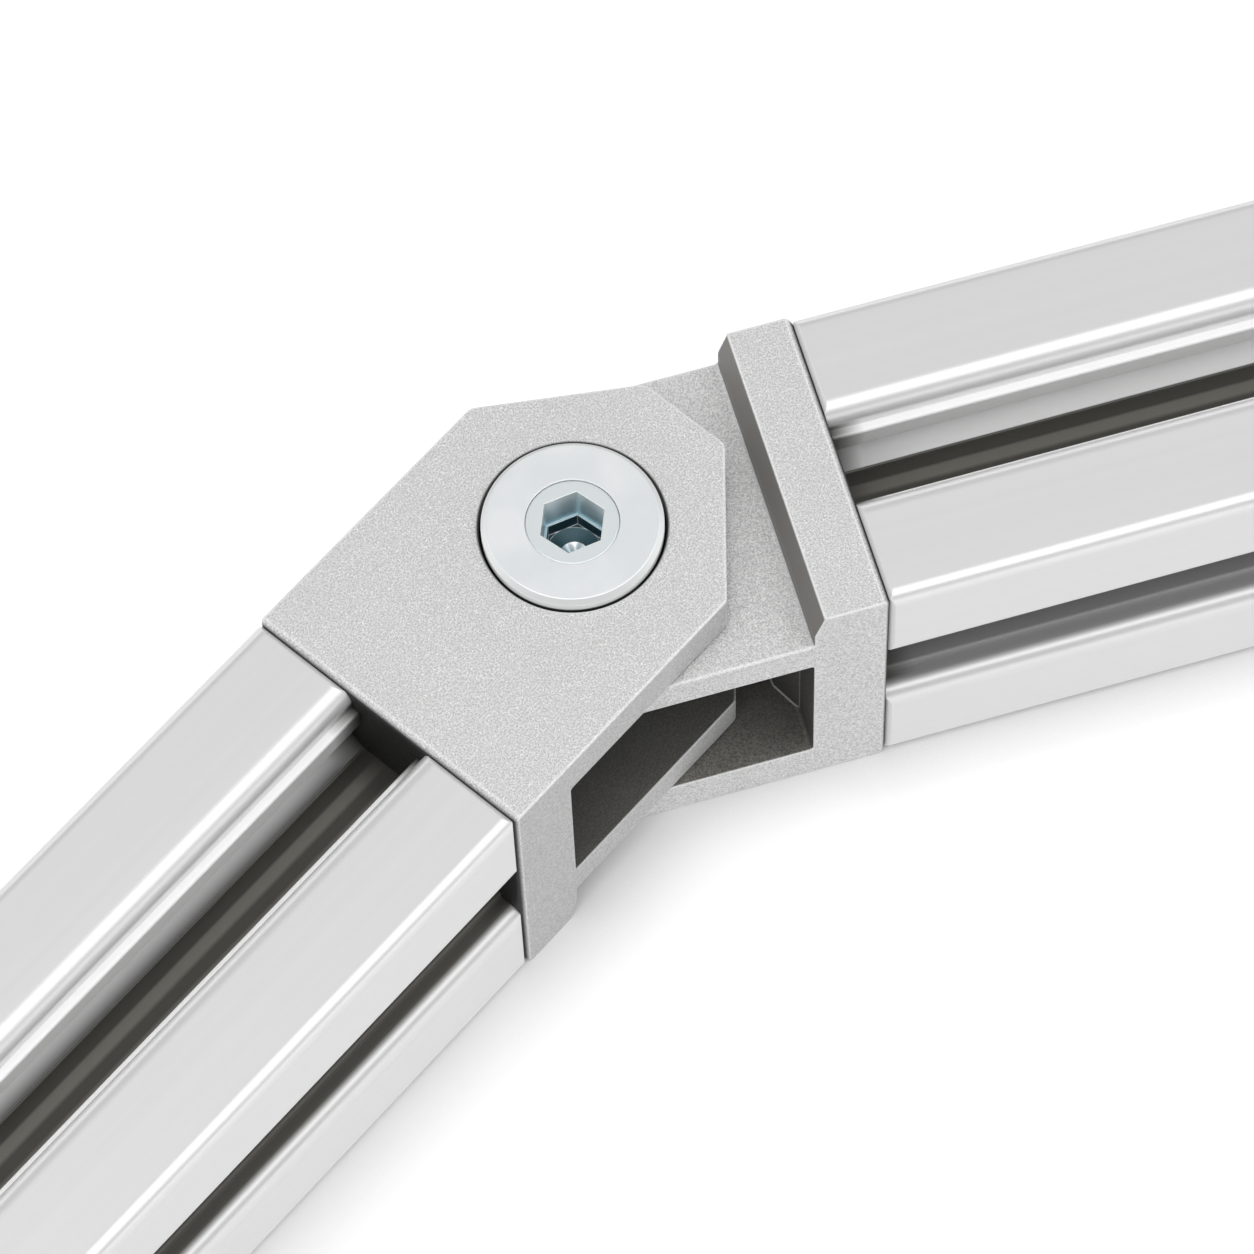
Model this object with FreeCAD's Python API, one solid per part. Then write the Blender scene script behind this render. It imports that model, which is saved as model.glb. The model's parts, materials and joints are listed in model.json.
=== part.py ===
import FreeCAD, Part
import math
import os

# Profile pivot joint: two equal hinge halves on one pivot, each screwed to the end of a slotted profile.
# Row frame: origin on the pivot axis in the plane of the underside, +Z up along the pivot axis,
# +X along profile B. Every piece is drawn in the frame of its own half and then placed.

# Driving dimensions of the slotted profile
profile_size = 45.0
profile_length = 120.0
profile_corner_radius = 2.0
slot_mouth_width = 12.6
slot_mouth_rounding = 2.8
slot_ledge_depth = 4.0
slot_width = 10.0
slot_lip_thickness = 7.5
slot_cavity_width = 18.0
slot_web = 3.0
slot_lip_rounding = 0.4
slot_cavity_rounding = 0.5
core_half_width = 8.0
core_bore_radius = 5.1
corner_hollow_wall = 3.0
corner_hollow_rounding = 1.0
profile_end_bevel = 0.7

# Driving dimensions of the hinge casting
swing_clearance = 4.1
base_plate_thickness = 10.4
outer_lug_thickness = 6.8
inner_lug_thickness = 5.6
lug_gap = 0.5
outer_lug_tip_gap = 1.4
inner_lug_tip_gap = 2.0
outer_lug_chamfer_inset = 2.25
inner_lug_chamfer_inset = 1.25
lug_chamfer_angle = 41.0
lug_corner_radius = 1.5
plate_relief_width = 1.4
plate_relief_height = 4.5
boss_height = 2.4
boss_wall = 2.2
boss_flare = 4.5
boss_corner_radius = 1.0
boss_overlap = 0.5
inner_fillet_radius = 0.6
step_fillet_radius = 0.6
edge_rounding = 0.25
back_edge_chamfer = 0.9
back_corner_rounding = 1.0
key_length = 2.5
key_floor_gap = 0.4
key_side_clearance = 0.1

# Driving dimensions of the pivot
journal_radius = 9.5
running_clearance = 0.05
flange_overhang = 2.65
flange_gap = 0.25
flange_seat_depth = 3.4
flange_stands_proud = 2.1
flange_chamfer = 0.7
washer_recess_depth = 0.6
washer_overhang = 3.9
washer_side_gap = 0.2
sleeve_wall = 2.7
sleeve_side_gap = 0.3
screw_head_radius = 6.25
screw_head_height = 10.5
screw_head_below_flange = 0.15
screw_head_gap = 0.06
screw_radius = 4.0
screw_hex_across_flats = 8.0
screw_hex_depth = 6.0
screw_deep_hex_across_flats = 7.4
screw_deep_hex_depth = 8.4
screw_hex_turn = 7.5
screw_bore_gap = 0.3
screw_head_chamfer = 0.15
screw_tip_gap = 0.8
screw_pilot_cone_slope = 30.0
lock_washer_thickness = 2.0
lock_washer_bore_gap = 0.2
lock_washer_slit = 1.0
journal_end_gap = 0.25
washer_bore_gap = 0.2
blind_floor = 2.5
spanner_hole_radius = 1.75
spanner_hole_circle = 6.9
spanner_hole_depth = 2.0

# Driving dimensions of the core screws
core_screw_radius = 6.0
core_screw_head_room = 0.6
core_screw_head_height = 7.0
core_screw_length = 35.0
core_screw_hex = 8.0
core_screw_hex_depth = 4.0
core_washer_thickness = 2.5
core_seat_depth = 6.0
core_head_gap = 0.3
core_clearance_radius = 6.6
core_head_chamfer = 0.6
core_tip_chamfer = 1.0
core_thread_run_out = 0.5

# Pose of the joint
bend_angle = 33.0

# Sizes that follow from the ones above
half_size = profile_size / 2
mid_height = half_size
slot_depth = half_size - core_half_width
slot_cavity_straight_depth = half_size - slot_cavity_width / 2 - slot_web
plate_inner = half_size + swing_clearance
pivot_to_profile = plate_inner + base_plate_thickness
boss_face = plate_inner - boss_height
outer_lug_bottom = profile_size - outer_lug_thickness
inner_lug_bottom = outer_lug_thickness + lug_gap
inner_lug_top = inner_lug_bottom + inner_lug_thickness
lug_bore_radius = journal_radius + running_clearance
flange_radius = journal_radius + flange_overhang
washer_outer_radius = journal_radius + washer_overhang
washer_thickness = lug_gap + 2 * washer_recess_depth - running_clearance
core_screw_head_radius = half_size - inner_lug_top - core_screw_head_room
core_seat_radius = core_screw_head_radius + core_head_gap
key_thickness = slot_cavity_straight_depth - slot_lip_thickness - key_side_clearance - key_floor_gap
key_edge_chamfer = key_thickness / 5

# How far a cutting tool runs past a face, and how near an edge must lie to count as on a face
overshoot = 1.0
near = 0.01

X_AXIS = FreeCAD.Vector(1, 0, 0)
Y_AXIS = FreeCAD.Vector(0, 1, 0)
Z_AXIS = FreeCAD.Vector(0, 0, 1)
ORIGIN = FreeCAD.Vector(0, 0, 0)


def vector(x, y, z=0.0):
    return FreeCAD.Vector(x, y, z)


def rounded_wire(corners):
    """Closed outline in the XY plane from (x, y, radius) corners, each rounded by its own radius."""
    count = len(corners)
    edges = []
    entries = []
    exits = []
    for index, (x, y, radius) in enumerate(corners):
        here = vector(x, y)
        before = vector(*corners[index - 1][:2])
        after = vector(*corners[(index + 1) % count][:2])
        to_before = (before - here).normalize()
        to_after = (after - here).normalize()
        if radius > 0:
            half_angle = to_before.getAngle(to_after) / 2
            setback = radius / math.tan(half_angle)
            entry = here + to_before * setback
            leave = here + to_after * setback
            bisector = (to_before + to_after).normalize()
            middle = here + bisector * (radius / math.sin(half_angle) - radius)
            edges.append(Part.Arc(entry, middle, leave).toShape())
        else:
            entry = here
            leave = here
        entries.append(entry)
        exits.append(leave)
    for index in range(count):
        start = exits[index]
        end = entries[(index + 1) % count]
        if (end - start).Length > near / 100:
            edges.append(Part.LineSegment(start, end).toShape())
    return Part.Wire(Part.__sortEdges__(edges))


def prism(corners, bottom, top):
    """Upright solid between two heights over a rounded outline."""
    face = Part.Face(rounded_wire(corners))
    face.translate(vector(0, 0, bottom))
    return face.extrude(vector(0, 0, top - bottom))


def disc(radius, bottom, top):
    return Part.makeCylinder(radius, top - bottom, vector(0, 0, bottom))


def ring(outer_radius, inner_radius, bottom, top):
    return disc(outer_radius, bottom, top).cut(disc(inner_radius, bottom - overshoot, top + overshoot))


def rod_along_x(radius, start, end, height=mid_height):
    return Part.makeCylinder(radius, end - start, vector(start, 0, height), X_AXIS)


def edges_where(shape, test):
    """Edges whose box passes the test."""
    return [edge for edge in shape.Edges if test(edge.BoundBox)]


def hexagon_corners(across_flats, turn=0.0):
    corner_radius = across_flats / math.sqrt(3)
    angles = [math.radians(turn + 60 * step) for step in range(6)]
    return [(corner_radius * math.cos(a), corner_radius * math.sin(a), 0) for a in angles]


def lug_outline(chamfer_inset, tip_gap):
    """Plan outline of a lug: parallel sides, two slanted sides and a short straight tip."""
    slope = math.radians(lug_chamfer_angle)
    slant_distance = half_size - chamfer_inset
    tip_reach = boss_face - tip_gap
    shoulder_x = (slant_distance - half_size * math.cos(slope)) / math.sin(slope)
    tip_half_width = (slant_distance - tip_reach * math.sin(slope)) / math.cos(slope)
    root = plate_inner + base_plate_thickness / 2
    half = [
        (root, half_size, 0),
        (-shoulder_x, half_size, lug_corner_radius),
        (-tip_reach, tip_half_width, lug_corner_radius),
    ]
    mirrored = [(x, -y, radius) for x, y, radius in reversed(half)]
    return half + mirrored


def base_plate():
    """Plate against the profile's end, with a steep relief on the edge over the step."""
    side_view = [
        (pivot_to_profile, 0, 0),
        (pivot_to_profile, profile_size, 0),
        (plate_inner, profile_size, 0),
        (plate_inner, plate_relief_height, 0),
        (plate_inner + plate_relief_width, 0, 0),
    ]
    plate = prism(side_view, -half_size, half_size)
    plate.rotate(ORIGIN, X_AXIS, 90)
    back_edges = edges_where(plate, lambda box: box.XMin > pivot_to_profile - near and box.ZLength < near)
    return plate.makeChamfer(back_edge_chamfer, back_edges)


def back_corner_envelope():
    """Block round one casting whose two upright edges at the profile are rounded."""
    plan = [
        (-profile_size, half_size, 0),
        (pivot_to_profile, half_size, back_corner_rounding),
        (pivot_to_profile, -half_size, back_corner_rounding),
        (-profile_size, -half_size, 0),
    ]
    return prism(plan, -overshoot, profile_size + overshoot)


def screw_boss():
    """Flat-topped thickening of the base plate between the lugs, round the core screw."""
    top_half = core_seat_radius + boss_wall
    root_half = top_half + boss_flare
    plan = [
        (pivot_to_profile - core_seat_depth, root_half, 0),
        (plate_inner, root_half, 0),
        (boss_face, top_half, boss_corner_radius),
        (boss_face, -top_half, boss_corner_radius),
        (plate_inner, -root_half, 0),
        (pivot_to_profile - core_seat_depth, -root_half, 0),
    ]
    return prism(plan, inner_lug_top - boss_overlap, outer_lug_bottom + boss_overlap)


def locating_key(side):
    """Key behind the base plate that fills the width of one side slot's cavity."""
    outer = half_size - slot_lip_thickness - key_side_clearance
    inner = outer - key_thickness
    height = slot_cavity_width - 2 * key_side_clearance
    start_y = inner if side > 0 else -outer
    corner = vector(pivot_to_profile - overshoot, start_y, mid_height - height / 2)
    key = Part.makeBox(key_length + overshoot, key_thickness, height, corner)
    return key.makeChamfer(key_edge_chamfer, edges_where(key, lambda box: box.XMax > pivot_to_profile))


def lies_flat_at(box, height):
    return box.ZLength < near and abs(box.ZMin - height) < near


def round_outer_edges(body):
    """Small rounding along the outlines of the lugs' outer faces."""
    def on_outer_face(box):
        return lies_flat_at(box, profile_size) and box.XMax < pivot_to_profile - near

    def on_step(box):
        return lies_flat_at(box, inner_lug_bottom) and box.XMax < plate_inner + near and box.XLength > near

    chosen = edges_where(body, lambda box: on_outer_face(box) or on_step(box))
    return body.makeFillet(edge_rounding, chosen)


def pivot_bores():
    """Everything that is bored on the pivot axis through both lugs of one casting."""
    above = profile_size + overshoot
    seat = disc(flange_radius + flange_gap, profile_size - flange_seat_depth, above)
    bore = disc(lug_bore_radius, inner_lug_bottom - overshoot, above)
    recesses = []
    for face in (inner_lug_bottom, outer_lug_bottom):
        recess_radius = washer_outer_radius + washer_side_gap
        recesses.append(disc(recess_radius, face - overshoot, face + washer_recess_depth))
    return [seat, bore] + recesses


def hinge_casting():
    """One die-cast half: base plate, outer lug flush with the top face, inner lug above the step."""
    outer_outline = lug_outline(outer_lug_chamfer_inset, outer_lug_tip_gap)
    inner_outline = lug_outline(inner_lug_chamfer_inset, inner_lug_tip_gap)
    outer_lug = prism(outer_outline, outer_lug_bottom, profile_size)
    inner_lug = prism(inner_outline, inner_lug_bottom, inner_lug_top)
    body = base_plate().fuse([outer_lug, inner_lug]).removeSplitter()

    def corner_at(height):
        """Test for the straight edge where the base plate meets a lug face at this height."""
        def test(box):
            at_plate = box.XLength < near and abs(box.XMin - plate_inner) < near
            return at_plate and lies_flat_at(box, height)
        return test

    inner_corners = edges_where(body, corner_at(inner_lug_top))
    inner_corners += edges_where(body, corner_at(outer_lug_bottom))
    body = body.makeFillet(inner_fillet_radius, inner_corners)
    body = body.makeFillet(step_fillet_radius, edges_where(body, corner_at(inner_lug_bottom)))
    body = round_outer_edges(body).common(back_corner_envelope())
    body = body.fuse([screw_boss(), locating_key(1), locating_key(-1)]).removeSplitter()
    core_seat = rod_along_x(core_seat_radius, boss_face - overshoot, core_washer_face())
    core_hole = rod_along_x(core_clearance_radius, boss_face, pivot_to_profile + overshoot)
    return body.cut(pivot_bores() + [core_seat, core_hole])


def slot_side_corners():
    """Corners of one side of the profile's outline, from its left corner to the end of its slot."""
    ledge = half_size - slot_ledge_depth
    lip_inside = half_size - slot_lip_thickness
    cavity = slot_cavity_width / 2
    slant = slot_depth - slot_cavity_straight_depth
    left = [
        (-half_size, half_size, profile_corner_radius),
        (-slot_mouth_width / 2, half_size, slot_mouth_rounding),
        (-slot_mouth_width / 2, ledge, 0),
        (-slot_width / 2, ledge, slot_lip_rounding),
        (-slot_width / 2, lip_inside, slot_lip_rounding),
        (-cavity, lip_inside, slot_cavity_rounding),
        (-cavity, half_size - slot_cavity_straight_depth, slot_cavity_rounding),
        (-cavity + slant, half_size - slot_depth, slot_cavity_rounding),
    ]
    right = [(-x, y, radius) for x, y, radius in reversed(left[1:])]
    return left + right


def quarter_turned(corners, quarters):
    turn = math.radians(-90 * quarters)
    cosine = math.cos(turn)
    sine = math.sin(turn)
    return [(x * cosine - y * sine, x * sine + y * cosine, radius) for x, y, radius in corners]


def corner_hollows():
    """Rounded square hollows in the four corners of the profile."""
    inner = slot_cavity_width / 2 + corner_hollow_wall
    outer = half_size - corner_hollow_wall
    square = [(x, y, corner_hollow_rounding) for x, y in
              ((inner, inner), (outer, inner), (outer, outer), (inner, outer))]
    return [prism(quarter_turned(square, quarter), 0, profile_length) for quarter in range(4)]


def slotted_profile():
    """Square profile with a slot in each side, from its end at the casting outwards along +X."""
    outline = []
    for quarter in range(4):
        outline += quarter_turned(slot_side_corners(), quarter)
    body = prism(outline, 0, profile_length)
    envelope = Part.makeBox(profile_size, profile_size, profile_length, vector(-half_size, -half_size, 0))
    end_edges = edges_where(envelope, lambda box: box.ZLength < near)
    body = body.common(envelope.makeChamfer(profile_end_bevel, end_edges))
    thread_end = core_screw_tip() - pivot_to_profile + core_thread_run_out
    threaded = disc(core_screw_radius + running_clearance, -overshoot, thread_end)
    bore = disc(core_bore_radius, -overshoot, profile_length + overshoot)
    body = body.cut(corner_hollows() + [threaded, bore])
    body.rotate(ORIGIN, Y_AXIS, 90)
    body.translate(vector(pivot_to_profile, 0, mid_height))
    return body


def core_washer_face():
    return boss_face + core_seat_depth


def core_screw_tip():
    return core_washer_face() - core_washer_thickness + core_screw_length


def core_screw():
    """Screw through the base plate into the profile, its head towards the pivot."""
    head_face = core_washer_face() - core_washer_thickness
    head = rod_along_x(core_screw_head_radius, head_face - core_screw_head_height, head_face)
    rim = edges_where(head, lambda box: box.XMax < head_face - near)
    head = head.makeChamfer(core_head_chamfer, rim)
    shank = rod_along_x(core_screw_radius, head_face, core_screw_tip())
    tip = edges_where(shank, lambda box: box.XMin > core_screw_tip() - near)
    shank = shank.makeChamfer(core_tip_chamfer, tip)
    socket = prism(hexagon_corners(core_screw_hex), 0, core_screw_hex_depth)
    socket.rotate(ORIGIN, Y_AXIS, 90)
    socket.translate(vector(head_face - core_screw_head_height, 0, mid_height))
    return head.fuse(shank).cut(socket).removeSplitter()


def split_ring(outer_radius, screw_size, bottom, top):
    """Spring lock washer: a ring with a narrow slit, loose on its screw."""
    body = ring(outer_radius, screw_size + lock_washer_bore_gap, bottom, top)
    length = outer_radius + overshoot
    height = top - bottom + 2 * overshoot
    corner = vector(0, -lock_washer_slit / 2, bottom - overshoot)
    return body.cut(Part.makeBox(length, lock_washer_slit, height, corner))


def core_lock_washer():
    """Spring lock washer under the head of a core screw."""
    body = split_ring(core_screw_head_radius, core_screw_radius, 0, core_washer_thickness)
    body.rotate(ORIGIN, Y_AXIS, 90)
    body.translate(vector(core_washer_face() - core_washer_thickness, 0, mid_height))
    return body


def flange_top():
    return profile_size + flange_stands_proud


def screw_head_bottom():
    return flange_top() - screw_head_below_flange - screw_head_height


def lock_washer_bottom():
    return screw_head_bottom() - lock_washer_thickness


def inner_lug_of_lower_half_bottom():
    """Underside of half B's inner lug, which is the upper one of the two."""
    return profile_size - inner_lug_top


def pivot_flange_bush():
    """Upper flange with its journal, bored for the screw head and the screw."""
    seat = profile_size - flange_seat_depth
    flange = disc(flange_radius, seat, flange_top())
    rim = edges_where(flange, lambda box: box.ZMin > flange_top() - near)
    flange = flange.makeChamfer(flange_chamfer, rim)
    journal = disc(journal_radius, inner_lug_of_lower_half_bottom() + journal_end_gap, seat)
    head_bore = disc(screw_head_radius + screw_head_gap, lock_washer_bottom(), flange_top() + overshoot)
    screw_bore = disc(screw_radius + screw_bore_gap, 0, flange_top())
    return flange.fuse(journal).cut([head_bore, screw_bore]).removeSplitter()


def pivot_flange_nut():
    """Lower flange with its journal and a blind thread, flush with the underside."""
    flange = disc(flange_radius, 0, flange_seat_depth)
    rim = edges_where(flange, lambda box: box.ZMax < near)
    flange = flange.makeChamfer(flange_chamfer, rim)
    journal = disc(journal_radius, flange_seat_depth, inner_lug_top - journal_end_gap)
    thread = disc(screw_radius + running_clearance, blind_floor, profile_size)
    body = flange.fuse(journal).cut(thread)
    for side in (-1, 1):
        place = vector(side * spanner_hole_circle, 0, 0)
        body = body.cut(Part.makeCylinder(spanner_hole_radius, spanner_hole_depth, place))
    return body.removeSplitter()


def pivot_screw():
    """Clamping screw: its hex socket steps down to a slightly smaller hexagon over a drilled cone."""
    head_top = flange_top() - screw_head_below_flange
    head = disc(screw_head_radius, screw_head_bottom(), head_top)
    rim = edges_where(head, lambda box: box.ZMin > head_top - near)
    head = head.makeChamfer(screw_head_chamfer, rim)
    shank = disc(screw_radius, blind_floor + screw_tip_gap, screw_head_bottom())
    hexagon = hexagon_corners(screw_hex_across_flats, screw_hex_turn)
    socket = prism(hexagon, head_top - screw_hex_depth, head_top + overshoot)
    deep_hexagon = hexagon_corners(screw_deep_hex_across_flats, screw_hex_turn)
    deep_bottom = head_top - screw_deep_hex_depth
    deep_socket = prism(deep_hexagon, deep_bottom, head_top)
    cone_radius = screw_deep_hex_across_flats / 2
    cone_depth = cone_radius * math.tan(math.radians(screw_pilot_cone_slope))
    cone = Part.makeCone(0, cone_radius, cone_depth, vector(0, 0, deep_bottom - cone_depth))
    return head.fuse(shank).cut([socket, deep_socket, cone]).removeSplitter()


def pivot_lock_washer():
    """Spring lock washer under the head of the pivot screw."""
    return split_ring(screw_head_radius, screw_radius, lock_washer_bottom(), screw_head_bottom())


def friction_washer(bottom):
    return ring(washer_outer_radius, journal_radius + washer_bore_gap, bottom, bottom + washer_thickness)


def upper_friction_washer():
    """Disc between the outer lug of half A and the inner lug of half B."""
    return friction_washer(outer_lug_bottom - lug_gap - washer_recess_depth)


def lower_friction_washer():
    """Disc between the inner lug of half A and the outer lug of half B."""
    return friction_washer(outer_lug_thickness - washer_recess_depth)


def spacer_sleeve():
    """Tube between the two inner lugs that takes the clamping force."""
    inner_radius = journal_radius + sleeve_side_gap
    bottom = inner_lug_top + running_clearance
    return ring(inner_radius + sleeve_wall, inner_radius, bottom, inner_lug_of_lower_half_bottom())


def place_half_a(shape):
    """Half A keeps its outer lug on top and points its profile away from profile B."""
    placed = shape.copy()
    placed.rotate(ORIGIN, Z_AXIS, 180 + bend_angle)
    return placed


def place_half_b(shape):
    """Half B is turned over, so that its outer lug is the lowest one."""
    placed = shape.copy()
    placed.rotate(vector(0, 0, mid_height), X_AXIS, 180)
    return placed


def pieces():
    casting = hinge_casting()
    profile = slotted_profile()
    screw = core_screw()
    washer = core_lock_washer()
    return {
        "hinge_half_a": place_half_a(casting),
        "hinge_half_b": place_half_b(casting),
        "profile_a": place_half_a(profile),
        "profile_b": place_half_b(profile),
        "core_screw_a": place_half_a(screw),
        "core_screw_b": place_half_b(screw),
        "core_lock_washer_a": place_half_a(washer),
        "core_lock_washer_b": place_half_b(washer),
        "pivot_flange_bush": pivot_flange_bush(),
        "pivot_flange_nut": pivot_flange_nut(),
        "pivot_screw": pivot_screw(),
        "pivot_lock_washer": pivot_lock_washer(),
        "upper_friction_washer": upper_friction_washer(),
        "lower_friction_washer": lower_friction_washer(),
        "spacer_sleeve": spacer_sleeve(),
    }


os.makedirs("parts", exist_ok=True)
for name, shape in pieces().items():
    shape.exportStep("parts/" + name + ".step")
    print(name, len(shape.Solids), "solids", round(shape.Volume), "mm3", "valid", shape.isValid())
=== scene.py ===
import json
import math

import bpy
from mathutils import Matrix, Vector


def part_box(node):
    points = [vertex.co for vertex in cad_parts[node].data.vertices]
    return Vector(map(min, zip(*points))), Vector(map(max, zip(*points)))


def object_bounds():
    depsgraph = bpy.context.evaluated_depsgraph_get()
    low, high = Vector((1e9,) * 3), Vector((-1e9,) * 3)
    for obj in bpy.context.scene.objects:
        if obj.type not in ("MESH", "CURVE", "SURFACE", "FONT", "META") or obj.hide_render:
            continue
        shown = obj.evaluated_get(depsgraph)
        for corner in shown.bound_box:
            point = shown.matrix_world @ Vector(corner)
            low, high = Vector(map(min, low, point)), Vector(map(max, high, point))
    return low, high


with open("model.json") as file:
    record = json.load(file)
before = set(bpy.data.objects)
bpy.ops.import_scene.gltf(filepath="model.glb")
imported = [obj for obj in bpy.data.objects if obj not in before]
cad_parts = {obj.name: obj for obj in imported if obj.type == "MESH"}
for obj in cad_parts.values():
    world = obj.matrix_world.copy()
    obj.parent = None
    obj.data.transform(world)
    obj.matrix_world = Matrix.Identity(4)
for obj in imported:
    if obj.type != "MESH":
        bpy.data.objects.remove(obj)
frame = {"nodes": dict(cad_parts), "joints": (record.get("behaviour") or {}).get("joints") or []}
cad_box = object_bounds()

MM = 0.001


def grey(level):
    return (level, level, level, 1.0)


def warm(level):
    """Slightly brownish grey, used for shade painted into recesses."""
    return (level, 0.96 * level, 0.84 * level, 1.0)


# The joint, as the frame gives it, in millimetres
JOINT_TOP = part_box("hinge_half_a")[1].z / MM
CASTING_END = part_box("profile_b")[0].x / MM
PROFILE_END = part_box("profile_b")[1].x / MM
HALF_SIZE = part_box("profile_b")[1].y / MM

# Places on a casting, in its own axes, in millimetres
PLATE_INNER = 26.6
RELIEF_WIDTH = 1.4
STEP_FACE = 7.3
WINDOW_BOTTOM = 12.9
WINDOW_TOP = 38.2
WINDOW_SHADE_RANGE = (14.0, 30.0)
WINDOW_SHADE_SHIFT = 12.0
FLANGE_SEAT = 41.2
# The back edge of a casting is painted dark over this width, as shade in the gap to its profile
DARK_EDGE_WIDTH = 0.35

# Thin ring of shade round the flange, in millimetres, with its middle in the axes of the whole joint
RING_RADIUS = 12.6
RING_WIDTH = 0.3
RING_PLACE = (0.11, 0.44, 0.0)

# Places on a profile, in millimetres: depths below its faces, distances from its middle and from its ends
SLOT_WALL_TOP = 2.8
SLOT_SHADE_TOP = 12.3
SLOT_FLOOR = 14.5
SIDE_SHADE_TOP = 2.0
RIB_INNER = 1.0
RIB_OUTER = 2.8
CASTING_SHADE = 2.5
END_FADE = 10.0

# Places on the pivot flange and screw, in millimetres
FLANGE_RADIUS = 12.15
FLANGE_CHAMFER = 0.62
FLANGE_CLEARANCE = 0.5
FLANGE_FOOT = 45.3
SCREW_HEAD_RADIUS = 6.28
SOCKET_RADIUS = 4.75
SOCKET_TOP = 46.7
SOCKET_STEP = 40.95
SOCKET_BOTTOM = 38.7
PILOT_RADIUS = 2.0

# How far the edge of a coloured zone lies from the face that bounds it, in millimetres
MARGIN = 0.15
SMALL_MARGIN = 0.1
SIDE_MARGIN = 0.05
FOOT_MARGIN = 0.04

# Noise values between which a speckle fades in
GRAIN_RANGE = (0.42, 0.58)
GRAIN_GLOSS_RANGE = (0.35, 0.65)
SPARKLE_RANGE = (0.62, 0.68)
PIT_RANGE = (0.55, 0.72)
BROAD_RANGE = (0.3, 0.7)
BLOTCH_RANGE = (0.42, 0.62)

# Die lines on the profiles per millimetre along, across and up, so that they run along the profile
DIE_LINE_SCALE = (0.002, 0.5, 0.5)

# Colours of the castings; side, relief, gap, window wall and lug face colours are painted shade, and bright
# metal also paints worn edges as highlights
GRAIN_DARK = grey(0.51)
GRAIN_LIGHT = grey(0.81)
BRIGHT_METAL = grey(1.0)
PIT_COLOUR = grey(0.5)
CAST_CLOUD_COLOUR = grey(0.58)
CAST_SIDE_SHADE = grey(0.3)
RELIEF_SHADE = (0.24, 0.232, 0.22, 1)
GAP_SHADE = grey(0.02)
WINDOW_WALL_SHADES = (warm(0.03), warm(0.06), warm(0.1))
LUG_FACE_SHADES = (warm(0.07), warm(0.1), warm(0.24))

# Colours of the profiles; slot walls are painted light, slot floor and rib colours are painted shade, and
# the edge colour is both wear and painted highlight
DIE_LINE_DARK = grey(0.765)
DIE_LINE_LIGHT = grey(0.785)
PROFILE_CLOUD_COLOUR = grey(0.72)
PROFILE_EDGE_COLOUR = grey(0.92)
SLOT_WALL_LIGHT_OUTER = grey(0.9)
SLOT_WALL_LIGHT_INNER = grey(1.0)
SLOT_FLOOR_SHADE = warm(0.06)
RIB_SHADE = warm(0.16)

# Colours of the zinc plating and of the black plastic; flange foot, socket wall and deep socket colours are
# painted shade, and the edge colour is both wear and painted highlight
ZINC_RING_DARK = (0.90, 0.92, 0.93, 1)
ZINC_RING_LIGHT = (0.91, 0.93, 0.94, 1)
ZINC_BLOTCH_COLOUR = (0.78, 0.82, 0.84, 1)
ZINC_EDGE_COLOUR = (0.97, 0.99, 1.0, 1)
FLANGE_RIM_COLOUR = (0.76, 0.77, 0.77, 1)
FLANGE_FOOT_SHADE = (0.04, 0.045, 0.05, 1)
SCREW_HEAD_COLOUR = (0.78, 0.83, 0.84, 1)
SOCKET_TOP_COLOUR = (0.88, 0.95, 0.97, 1)
SOCKET_WALL_SHADE = (0.42, 0.62, 0.69, 1)
SOCKET_DEEP_SHADE = (0.03, 0.08, 0.1, 1)
PILOT_COLOUR = (0.95, 0.97, 0.98, 1)
ACETAL_DARK = grey(0.02)
ACETAL_LIGHT = grey(0.035)

# Strength of the finer effects: relief of specks and pits, profile edges worn and painted as highlights,
# dull side slots, glossy cone
GRAIN_HEIGHT = 0.5
PIT_HEIGHT = 0.8
PROFILE_EDGE_SHARE = 0.5
SIDE_SLOT_DULLNESS = 0.3
PILOT_GLOSS = 0.16

# Pieces that share a material
ZINC_PLATED_PIECES = (
    "pivot_flange_bush", "pivot_flange_nut", "pivot_screw", "pivot_lock_washer", "spacer_sleeve",
    "core_screw_a", "core_screw_b", "core_lock_washer_a", "core_lock_washer_b",
)
FRICTION_WASHERS = ("upper_friction_washer", "lower_friction_washer")

# Camera, from the photograph's perspective, with the pivot's distance from it in metres
IMAGE_SIZE = 1254
SENSOR_WIDTH = 36.0
FOCAL_PIXELS = 6209.0
ELEVATION = math.radians(63.03)
ROLL = math.radians(-2.60)
PROFILE_B_TURN = math.radians(13.91)
PIVOT_PIXEL = (572.8, 529.1)
PIVOT_DEPTH = 0.8199
CLIP_NEAR = 0.01
CLIP_FAR = 100

# Brightness of the surroundings at the horizon, above it and overhead, and where it changes, in degrees
HORIZON_LEVEL = 1.4
MIDDLE_LEVEL = 0.3
UPPER_LEVEL = 0.6
HORIZON_FADE = (14, 20)
OVERHEAD_FADE = (45, 58)

# Soft box overhead, in metres
SOFTBOX_LEVEL = 1.5
SOFTBOX_PLACE = (0.1, -0.43, 1.35)
SOFTBOX_SIZE = (3.1, 1.32)

# The floor's own colour, its colour where the camera sees it, and what it adds where it is seen
FLOOR_COLOUR = 0.6
FLOOR_SEEN_COLOUR = 0.75
FLOOR_GLOW = 0.45

# Half the floor's width in metres, its gap under the joint and its contact shadow's reach in millimetres
FLOOR_HALF_WIDTH = 6.0
FLOOR_GAP = 0.05
CONTACT_SHADOW_REACH = 22.0
CONTACT_SHADOW_RANGE = (0.45, 0.95)


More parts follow.
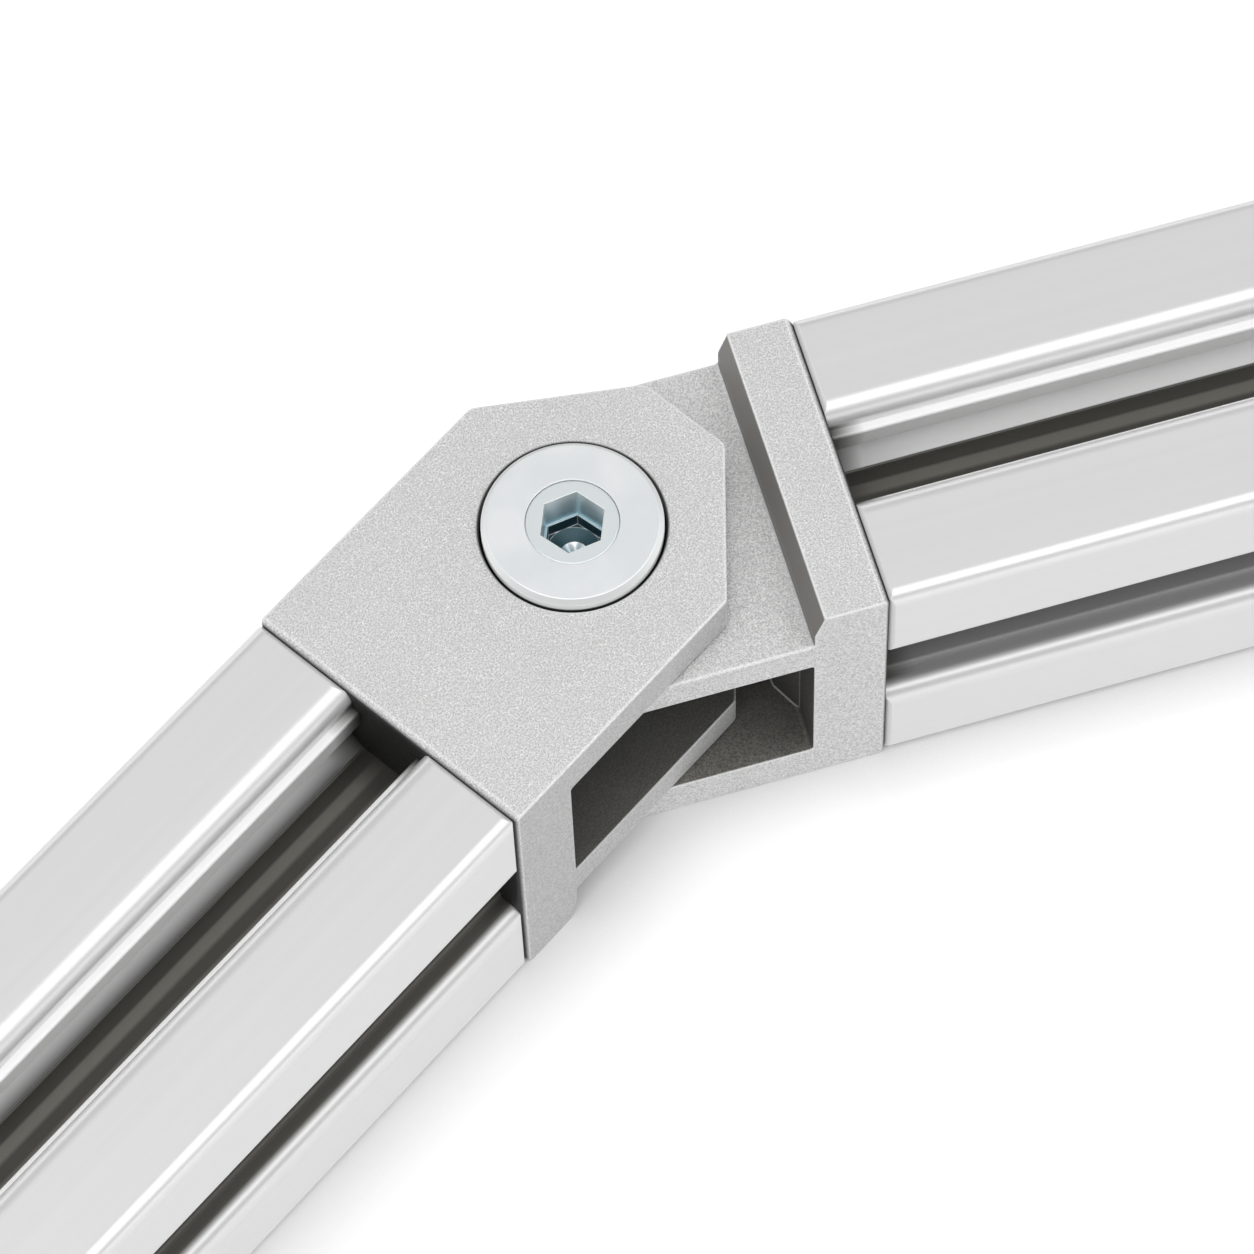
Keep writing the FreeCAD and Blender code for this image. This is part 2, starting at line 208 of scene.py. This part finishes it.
def camera_axes():
    """Right, up and forward directions of the camera, in the axes of the joint."""
    turn = Matrix.Rotation(-PROFILE_B_TURN, 3, "Z")
    right = turn @ Vector((1, 0, 0))
    forward = turn @ Vector((0, math.cos(ELEVATION), -math.sin(ELEVATION)))
    up = right.cross(forward)
    rolled_right = math.cos(ROLL) * right + math.sin(ROLL) * up
    rolled_up = -math.sin(ROLL) * right + math.cos(ROLL) * up
    return rolled_right, rolled_up, forward


def add_camera():
    """Camera at the photograph's viewpoint, placed from where the pivot appears in the picture."""
    right, up, forward = camera_axes()
    across = (PIVOT_PIXEL[0] - IMAGE_SIZE / 2) / FOCAL_PIXELS
    down = (PIVOT_PIXEL[1] - IMAGE_SIZE / 2) / FOCAL_PIXELS
    pivot_top = Vector((0, 0, JOINT_TOP * MM))
    place = pivot_top - PIVOT_DEPTH * (forward + across * right - down * up)
    data = bpy.data.cameras.new("camera")
    data.sensor_width = SENSOR_WIDTH
    data.lens = SENSOR_WIDTH * FOCAL_PIXELS / IMAGE_SIZE
    data.clip_start = CLIP_NEAR
    data.clip_end = CLIP_FAR
    camera = bpy.data.objects.new("camera", data)
    axes = Matrix((right, up, -forward)).transposed()
    camera.matrix_world = Matrix.Translation(place) @ axes.to_4x4()
    bpy.context.scene.collection.objects.link(camera)
    bpy.context.scene.camera = camera


class Nodes:
    """A node tree with short calls for adding and linking nodes."""

    def __init__(self, tree):
        self.tree = tree
        self.tree.nodes.clear()

    def add(self, kind, **settings):
        """A new node, with its settings and the values of its inputs given by name."""
        node = self.tree.nodes.new(kind)
        for key, value in settings.items():
            if hasattr(node, key):
                setattr(node, key, value)
            else:
                node.inputs[key.replace("_", " ")].default_value = value
        return node

    def link(self, source, target):
        self.tree.links.new(source, target)

    def place(self, turn=0.0):
        """Coordinates on the piece in millimetres, in axes turned about Z."""
        found = self.add("ShaderNodeTexCoord")
        scaled = self.add("ShaderNodeVectorMath", operation="SCALE", Scale=1 / MM)
        self.link(found.outputs["Object"], scaled.inputs[0])
        if turn == 0:
            return scaled.outputs["Vector"]
        turned = self.add("ShaderNodeVectorRotate", rotation_type="Z_AXIS", Angle=-turn)
        self.link(scaled.outputs["Vector"], turned.inputs["Vector"])
        return turned.outputs["Vector"]

    def vector_math(self, operation, coordinates, constant):
        node = self.add("ShaderNodeVectorMath", operation=operation)
        node.inputs[1].default_value = constant
        self.link(coordinates, node.inputs[0])
        return node.outputs["Vector"]

    def split(self, coordinates):
        """The three coordinates, the second one without its sign."""
        node = self.add("ShaderNodeSeparateXYZ")
        self.link(coordinates, node.inputs["Vector"])
        return node.outputs["X"], self.math("ABSOLUTE", node.outputs["Y"], 0.0), node.outputs["Z"]

    def from_axis(self, coordinates):
        """Distance from the pivot axis."""
        length = self.add("ShaderNodeVectorMath", operation="LENGTH")
        self.link(self.vector_math("MULTIPLY", coordinates, (1, 1, 0)), length.inputs[0])
        return length.outputs["Value"]

    def noise(self, coordinates, scale, detail, roughness):
        node = self.add("ShaderNodeTexNoise", Scale=scale, Detail=detail, Roughness=roughness)
        self.link(coordinates, node.inputs["Vector"])
        return node.outputs["Fac"]

    def spread(self, value, from_low, from_high, to_low=0.0, to_high=1.0):
        """Value carried over from one range to another and held at its ends."""
        node = self.add("ShaderNodeMapRange")
        node.inputs["From Min"].default_value = from_low
        node.inputs["From Max"].default_value = from_high
        node.inputs["To Min"].default_value = to_low
        node.inputs["To Max"].default_value = to_high
        self.link(value, node.inputs["Value"])
        return node.outputs["Result"]

    def math(self, operation, first, second):
        node = self.add("ShaderNodeMath", operation=operation)
        for socket, value in zip(node.inputs, (first, second)):
            if isinstance(value, (int, float)):
                socket.default_value = value
            else:
                self.link(value, socket)
        return node.outputs["Value"]

    def all_of(self, *masks):
        """Product of masks: 1 where every one is 1."""
        found = masks[0]
        for mask in masks[1:]:
            found = self.math("MULTIPLY", found, mask)
        return found

    def above(self, value, limit, soft=0.05):
        """1 where the value is over the limit, 0 where it is under."""
        return self.spread(value, limit - soft, limit + soft)

    def below(self, value, limit, soft=0.05):
        """1 where the value is under the limit, 0 where it is over."""
        return self.spread(value, limit + soft, limit - soft)

    def mix(self, factor, first, second):
        """Mix of two colours, each an output or a plain colour."""
        node = self.add("ShaderNodeMix", data_type="RGBA")
        self.link(factor, node.inputs["Factor"])
        sockets = [s for s in node.inputs if s.type == "RGBA"]
        for socket, value in zip(sockets, (first, second)):
            if isinstance(value, tuple):
                socket.default_value = value
            else:
                self.link(value, socket)
        return [s for s in node.outputs if s.type == "RGBA"][0]

    def bump(self, height, distance, strength, normal=None):
        node = self.add("ShaderNodeBump", Strength=strength, Distance=distance)
        self.link(height, node.inputs["Height"])
        if normal is not None:
            self.link(normal, node.inputs["Normal"])
        return node.outputs["Normal"]

    def edge_wear_and_highlight(self, radius, sharpness):
        """Rounded normal near sharp edges, and a mask that is 1 on those edges, for wear and painted
        highlights.
        """
        bevel = self.add("ShaderNodeBevel", samples=6, Radius=radius)
        geometry = self.add("ShaderNodeNewGeometry")
        dot = self.add("ShaderNodeVectorMath", operation="DOT_PRODUCT")
        self.link(bevel.outputs["Normal"], dot.inputs[0])
        self.link(geometry.outputs["True Normal"], dot.inputs[1])
        return bevel.outputs["Normal"], self.spread(dot.outputs["Value"], 1.0, 1.0 - sharpness)

    def shader(self, colour, roughness, metallic, normal=None):
        """Principled shader, with each value an output or the same all over."""
        shader = self.add("ShaderNodeBsdfPrincipled")
        sockets = (shader.inputs["Base Color"], shader.inputs["Roughness"], shader.inputs["Metallic"])
        for socket, value in zip(sockets, (colour, roughness, metallic)):
            if isinstance(value, (tuple, float)):
                socket.default_value = value
            else:
                self.link(value, socket)
        if normal is not None:
            self.link(normal, shader.inputs["Normal"])
        return shader.outputs["BSDF"]

    def show(self, shader):
        output = self.add("ShaderNodeOutputMaterial")
        self.link(shader, output.inputs["Surface"])


def new_material(name):
    material = bpy.data.materials.new(name)
    material.use_nodes = True
    return material, Nodes(material.node_tree)


def recess_shade_colour(n, outwards, speckle, colours):
    """Painted shade of a recess from its three colours: deep inside, and further out its dark and its light
    specks.
    """
    deep, dark_speck, light_speck = colours
    return n.mix(outwards, deep, n.mix(speckle, dark_speck, light_speck))


def window_shade_colour(n, grain, cloudy, across, height):
    """Painted shade inside a casting between its lugs, lighter outwards and on the inner face of the outer
    lug.
    """
    shifted = n.math("ADD", across, n.math("MULTIPLY", cloudy, WINDOW_SHADE_SHIFT))
    outwards = n.spread(shifted, *WINDOW_SHADE_RANGE)
    speckle = n.spread(grain, *GRAIN_RANGE)
    walls = recess_shade_colour(n, outwards, speckle, WINDOW_WALL_SHADES)
    lug_face = recess_shade_colour(n, outwards, speckle, LUG_FACE_SHADES)
    return n.mix(n.above(height, WINDOW_TOP - SMALL_MARGIN), walls, lug_face)


def cast_aluminium(name, turn, turned_over, side_shade):
    """Blasted die casting: dense grain, edges painted bright as wear and highlight, and painted shade
    between the lugs and round the flange.
    """
    material, n = new_material(name)
    place = n.place(turn)
    along, across, height = n.split(place)
    if turned_over:
        height = n.math("SUBTRACT", 2 * HALF_SIZE, height)

    # Speckle, and worn edges painted bright as highlights
    grain = n.noise(place, scale=4.2, detail=3.0, roughness=0.65)
    sparkle = n.noise(place, scale=5.5, detail=1.0, roughness=0.5)
    pits = n.noise(place, scale=2.1, detail=3.0, roughness=0.6)
    cloudy = n.noise(place, scale=0.13, detail=3.0, roughness=0.5)
    normal, wear_and_highlight = n.edge_wear_and_highlight(radius=0.5 * MM, sharpness=0.06)
    base = n.mix(n.spread(grain, *GRAIN_RANGE), GRAIN_DARK, GRAIN_LIGHT)
    base = n.mix(n.spread(sparkle, *SPARKLE_RANGE, to_high=0.9), base, BRIGHT_METAL)
    base = n.mix(n.spread(pits, *PIT_RANGE, to_high=0.4), base, PIT_COLOUR)
    base = n.mix(n.spread(cloudy, *BROAD_RANGE, to_high=0.12), base, CAST_CLOUD_COLOUR)
    base = n.mix(wear_and_highlight, base, BRIGHT_METAL)

    # Painted shade in the window between the lugs, less on the worn and highlighted edges
    inside = n.below(across, HALF_SIZE - MARGIN)
    window = n.all_of(inside, n.above(height, WINDOW_BOTTOM - MARGIN), n.below(height, WINDOW_TOP + MARGIN),
                      n.below(along, PLATE_INNER + MARGIN))
    shade = n.math("MULTIPLY", window, n.spread(wear_and_highlight, 0.0, 1.0, to_low=0.94, to_high=0.4))
    base = n.mix(shade, base, window_shade_colour(n, grain, cloudy, across, height))

    # Painted shade on the relief over the step of the plate, on the back edge as the gap to the profile, on
    # the sides, and as a ring in the gap round the flange
    relief = n.all_of(inside, n.below(height, STEP_FACE - 2 * MARGIN),
                      n.above(along, PLATE_INNER - SMALL_MARGIN),
                      n.below(along, PLATE_INNER + RELIEF_WIDTH - SMALL_MARGIN))
    base = n.mix(relief, base, RELIEF_SHADE)
    base = n.mix(n.above(along, CASTING_END - DARK_EDGE_WIDTH, soft=0.2), base, GAP_SHADE)
    side = n.above(across, HALF_SIZE - SIDE_MARGIN, soft=0.02)
    base = n.mix(n.math("MULTIPLY", side, side_shade), base, CAST_SIDE_SHADE)
    from_ring = n.from_axis(n.vector_math("SUBTRACT", n.place(), RING_PLACE))
    ring = n.math("MULTIPLY", n.below(from_ring, RING_RADIUS + RING_WIDTH / 2, soft=RING_WIDTH / 2),
                  n.above(height, FLANGE_SEAT))
    base = n.mix(ring, base, GAP_SHADE)

    roughness = n.spread(grain, *GRAIN_GLOSS_RANGE, to_low=0.62, to_high=0.5)
    metallic = n.spread(wear_and_highlight, 0.0, 1.0, to_low=0.4, to_high=0.0)
    surface = n.math("ADD", n.math("MULTIPLY", grain, GRAIN_HEIGHT), n.math("MULTIPLY", pits, PIT_HEIGHT))
    bumped = n.bump(surface, distance=0.06 * MM, strength=0.8, normal=normal)
    n.show(n.shader(base, roughness, metallic, bumped))
    return material


def anodised_aluminium(name, turn, painted_wall_foot, side_slot_shade):
    """Satin anodised extrusion: faint die lines, slot walls painted light that darken inwards as painted
    shade, and slot floors painted dark as shade.
    """
    material, n = new_material(name)
    place = n.place(turn)
    along, across, height = n.split(place)
    from_middle = n.math("ABSOLUTE", n.math("SUBTRACT", height, HALF_SIZE), 0.0)
    depth = n.math("SUBTRACT", HALF_SIZE, n.math("MAXIMUM", across, from_middle))

    # Die lines, and lighter edges that are both wear and painted highlight
    die_lines = n.vector_math("MULTIPLY", place, DIE_LINE_SCALE)
    lines = n.noise(die_lines, scale=1.0, detail=4.0, roughness=0.6)
    cloudy = n.noise(place, scale=0.06, detail=2.0, roughness=0.5)
    normal, wear_and_highlight = n.edge_wear_and_highlight(radius=0.2 * MM, sharpness=0.25)
    base = n.mix(n.spread(lines, *BROAD_RANGE), DIE_LINE_DARK, DIE_LINE_LIGHT)
    base = n.mix(n.spread(cloudy, *BROAD_RANGE, to_high=0.05), base, PROFILE_CLOUD_COLOUR)
    base = n.mix(n.math("MULTIPLY", wear_and_highlight, PROFILE_EDGE_SHARE), base, PROFILE_EDGE_COLOUR)

    # Walls of the upper and lower slots, painted light, fading towards the floor into the painted colour
    # given for their foot
    at_casting = n.below(along, CASTING_END + CASTING_SHADE, soft=CASTING_SHADE)
    within_end = n.below(along, PROFILE_END - MARGIN)
    inside = n.above(depth, SLOT_WALL_TOP, soft=0.3)
    at_side = n.above(n.math("SUBTRACT", across, from_middle), 0.0)
    away_from_casting = n.below(at_casting, 0.5, soft=0.5)
    wall = n.all_of(away_from_casting, within_end, inside, n.below(depth, SLOT_FLOOR - MARGIN),
                    n.below(at_side, 0.5))
    neck = n.mix(n.spread(depth, SLOT_WALL_TOP, SLOT_SHADE_TOP), SLOT_WALL_LIGHT_OUTER, SLOT_WALL_LIGHT_INNER)
    foot = n.spread(depth, SLOT_SHADE_TOP, SLOT_FLOOR)
    base = n.mix(wall, base, n.mix(foot, neck, painted_wall_foot))

    # Side slots and slot floors painted dark as shade, a lighter painted strip along each half of the floor,
    # and painted shade next to the casting
    end_fade = n.spread(along, PROFILE_END - END_FADE, PROFILE_END, to_low=1.0, to_high=0.5)
    away_from_end = n.math("MULTIPLY", end_fade, within_end)
    side = n.all_of(at_side, n.above(depth, SIDE_SHADE_TOP, soft=0.5), away_from_end)
    base = n.mix(side, base, side_slot_shade)
    rib = n.all_of(n.above(across, RIB_INNER, soft=0.3), n.below(across, RIB_OUTER, soft=0.2))
    floor = n.math("MULTIPLY", n.above(depth, SLOT_FLOOR - MARGIN), away_from_end)
    base = n.mix(floor, base, n.mix(rib, SLOT_FLOOR_SHADE, RIB_SHADE))
    base = n.mix(n.math("MULTIPLY", inside, at_casting), base, SLOT_FLOOR_SHADE)

    shine = n.spread(lines, *BROAD_RANGE, to_low=0.29, to_high=0.33)
    roughness = n.math("ADD", shine, n.math("MULTIPLY", side, SIDE_SLOT_DULLNESS))
    metallic = n.spread(n.math("MAXIMUM", wall, side), 0.0, 1.0, to_low=0.4, to_high=0.05)
    bumped = n.bump(lines, distance=0.006 * MM, strength=0.15, normal=normal)
    n.show(n.shader(base, roughness, metallic, bumped))
    return material


def zinc_plated_steel():
    """Bright zinc plating with faint turning rings round the pivot axis and a bluish hex socket, painted
    shade in the socket and at the flange foot, and edges painted bright as wear and highlight.
    """
    material, n = new_material("zinc_plated_steel")
    place = n.place()
    height = n.split(place)[2]
    distance = n.from_axis(place)

    # Turning rings and blotches
    rings = n.add("ShaderNodeCombineXYZ")
    n.link(distance, rings.inputs["X"])
    turning = n.noise(rings.outputs["Vector"], scale=2.6, detail=3.0, roughness=0.6)
    cloudy = n.noise(place, scale=0.12, detail=2.0, roughness=0.5)
    normal, wear_and_highlight = n.edge_wear_and_highlight(radius=0.2 * MM, sharpness=0.12)
    base = n.mix(n.spread(turning, *BROAD_RANGE), ZINC_RING_DARK, ZINC_RING_LIGHT)
    base = n.mix(n.spread(cloudy, *BLOTCH_RANGE, to_high=0.6), base, ZINC_BLOTCH_COLOUR)

    # Flange rim, its foot painted dark as shade in the gap to the casting, and screw head
    near_flange = n.below(distance, FLANGE_RADIUS + FLANGE_CLEARANCE)
    at_flange = n.math("MULTIPLY", near_flange, n.above(height, FLANGE_SEAT))
    rim = n.math("MULTIPLY", n.above(distance, FLANGE_RADIUS - FLANGE_CHAMFER), at_flange)
    base = n.mix(rim, base, FLANGE_RIM_COLOUR)
    foot = n.all_of(n.above(distance, FLANGE_RADIUS - FOOT_MARGIN, soft=0.02), at_flange,
                    n.below(height, FLANGE_FOOT, soft=0.1))
    base = n.mix(foot, base, FLANGE_FOOT_SHADE)
    base = n.mix(n.below(distance, SCREW_HEAD_RADIUS), base, SCREW_HEAD_COLOUR)

    # Hex socket, darker downwards as painted shade, with its drilled cone
    socket = n.math("MULTIPLY", n.below(distance, SOCKET_RADIUS), n.below(height, SOCKET_TOP, soft=0.15))
    base = n.mix(socket, base, SOCKET_TOP_COLOUR)
    downwards = n.math("MULTIPLY", socket, n.spread(height, SOCKET_TOP, SOCKET_STEP))
    base = n.mix(downwards, base, SOCKET_WALL_SHADE)
    under_step = n.math("MULTIPLY", socket, n.below(height, SOCKET_STEP - SMALL_MARGIN))
    base = n.mix(under_step, base, SOCKET_DEEP_SHADE)
    # Edges painted bright, both as wear and as painted highlights
    base = n.mix(wear_and_highlight, base, ZINC_EDGE_COLOUR)
    pilot = n.all_of(n.below(distance, PILOT_RADIUS), n.below(height, SOCKET_BOTTOM), socket)
    base = n.mix(pilot, base, PILOT_COLOUR)

    shine = n.spread(turning, *BROAD_RANGE, to_low=0.28, to_high=0.295)
    roughness = n.math("SUBTRACT", shine, n.math("MULTIPLY", pilot, PILOT_GLOSS))
    metallic = n.spread(pilot, 0.0, 1.0, to_low=0.4, to_high=1.0)
    bumped = n.bump(turning, distance=0.008 * MM, strength=0.02, normal=normal)
    n.show(n.shader(base, roughness, metallic, bumped))
    return material


def black_acetal():
    """Plain black friction disc with a fine moulded grain."""
    material, n = new_material("black_acetal")
    grain = n.noise(n.place(), scale=2.5, detail=2.0, roughness=0.5)
    base = n.mix(n.spread(grain, *BROAD_RANGE), ACETAL_DARK, ACETAL_LIGHT)
    roughness = n.spread(grain, *BROAD_RANGE, to_low=0.4, to_high=0.55)
    bumped = n.bump(grain, distance=0.02 * MM, strength=0.4)
    n.show(n.shader(base, roughness, metallic=0.0, normal=bumped))
    return material


def give(nodes, material):
    """Puts one material in every slot of the named CAD pieces."""
    for name in nodes:
        for slot in frame["nodes"][name].material_slots:
            slot.material = material


def finish_pieces():
    """Materials of all pieces. Half A is turned from half B by the bend of the joint."""
    joint = next(j for j in frame["joints"] if j["name"] == "pivot_swing")
    straight = sum(joint["range_deg"]) / 2
    turn_of_a = math.radians(180 - straight)
    # Half A's casting is painted with shade on its sides, half B's is not
    casting_a = cast_aluminium("cast_aluminium_a", turn_of_a, turned_over=False, side_shade=0.4)
    casting_b = cast_aluminium("cast_aluminium_b", 0.0, turned_over=True, side_shade=0.0)
    # Profile A's slot walls fade to dark painted shade at their foot and its side slots are painted dark;
    # profile B's are painted lighter
    bar_a = anodised_aluminium("anodised_aluminium_a", turn_of_a, painted_wall_foot=grey(0.06), side_slot_shade=warm(0.1))
    bar_b = anodised_aluminium("anodised_aluminium_b", 0.0, painted_wall_foot=grey(0.9), side_slot_shade=grey(0.29))
    give(("hinge_half_a",), casting_a)
    give(("hinge_half_b",), casting_b)
    give(("profile_a",), bar_a)
    give(("profile_b",), bar_b)
    give(ZINC_PLATED_PIECES, zinc_plated_steel())
    give(FRICTION_WASHERS, black_acetal())


def floor_material():
    """White floor that glows where the camera or a mirror sees it, less so close to the joint, as a painted
    contact shadow.
    """
    material, n = new_material("floor_white")
    ray = n.add("ShaderNodeLightPath")
    camera = ray.outputs["Is Camera Ray"]
    colour = n.mix(camera, grey(FLOOR_COLOUR), grey(FLOOR_SEEN_COLOUR))
    plain = n.shader(colour, roughness=0.9, metallic=0.0)
    openness = n.add("ShaderNodeAmbientOcclusion", samples=8, Distance=CONTACT_SHADOW_REACH * MM)
    free = n.spread(openness.outputs["AO"], *CONTACT_SHADOW_RANGE)
    mirrored = n.math("MAXIMUM", ray.outputs["Is Glossy Ray"], ray.outputs["Is Transmission Ray"])
    seen = n.math("MAXIMUM", n.math("MULTIPLY", camera, free), mirrored)
    glow = n.add("ShaderNodeEmission", Color=grey(1.0))
    n.link(n.math("MULTIPLY", seen, FLOOR_GLOW), glow.inputs["Strength"])
    both = n.add("ShaderNodeAddShader")
    n.link(plain, both.inputs[0])
    n.link(glow.outputs["Emission"], both.inputs[1])
    n.show(both.outputs["Shader"])
    return material


def add_floor():
    """Plain floor just under the joint, which keeps the joint's soft shadow."""
    reach = FLOOR_HALF_WIDTH
    mesh = bpy.data.meshes.new("floor")
    corners = [(-reach, -reach, 0), (reach, -reach, 0), (reach, reach, 0), (-reach, reach, 0)]
    mesh.from_pydata(corners, [], [(0, 1, 2, 3)])
    floor = bpy.data.objects.new("floor", mesh)
    floor.location = (0, 0, cad_box[0].z - FLOOR_GAP * MM)
    bpy.context.scene.collection.objects.link(floor)
    mesh.materials.append(floor_material())


def add_softbox():
    """Rectangular soft box that shines straight down and is itself out of sight."""
    data = bpy.data.lights.new("overhead", "AREA")
    data.shape = "RECTANGLE"
    width, depth = SOFTBOX_SIZE
    data.size = width
    data.size_y = depth
    data.energy = SOFTBOX_LEVEL * math.pi * width * depth
    light = bpy.data.objects.new("overhead", data)
    light.location = SOFTBOX_PLACE
    light.visible_camera = False
    bpy.context.scene.collection.objects.link(light)


def sines(degrees):
    return [math.sin(math.radians(angle)) for angle in degrees]


def add_surroundings():
    """Bright near the horizon, dim above it and brighter again overhead."""
    world = bpy.data.worlds.new("surroundings")
    bpy.context.scene.world = world
    world.use_nodes = True
    n = Nodes(world.node_tree)
    direction = n.add("ShaderNodeTexCoord")
    split = n.add("ShaderNodeSeparateXYZ")
    n.link(direction.outputs["Generated"], split.inputs["Vector"])
    sine = split.outputs["Z"]
    horizon = n.spread(sine, *sines(HORIZON_FADE), to_low=HORIZON_LEVEL, to_high=MIDDLE_LEVEL)
    overhead = n.spread(sine, *sines(OVERHEAD_FADE), to_low=MIDDLE_LEVEL, to_high=UPPER_LEVEL)
    background = n.add("ShaderNodeBackground", Color=grey(1.0))
    n.link(n.math("MAXIMUM", horizon, overhead), background.inputs["Strength"])
    output = n.add("ShaderNodeOutputWorld")
    n.link(background.outputs["Background"], output.inputs["Surface"])


add_camera()
finish_pieces()
add_floor()
add_surroundings()
add_softbox()
bpy.context.scene.view_settings.view_transform = "Standard"
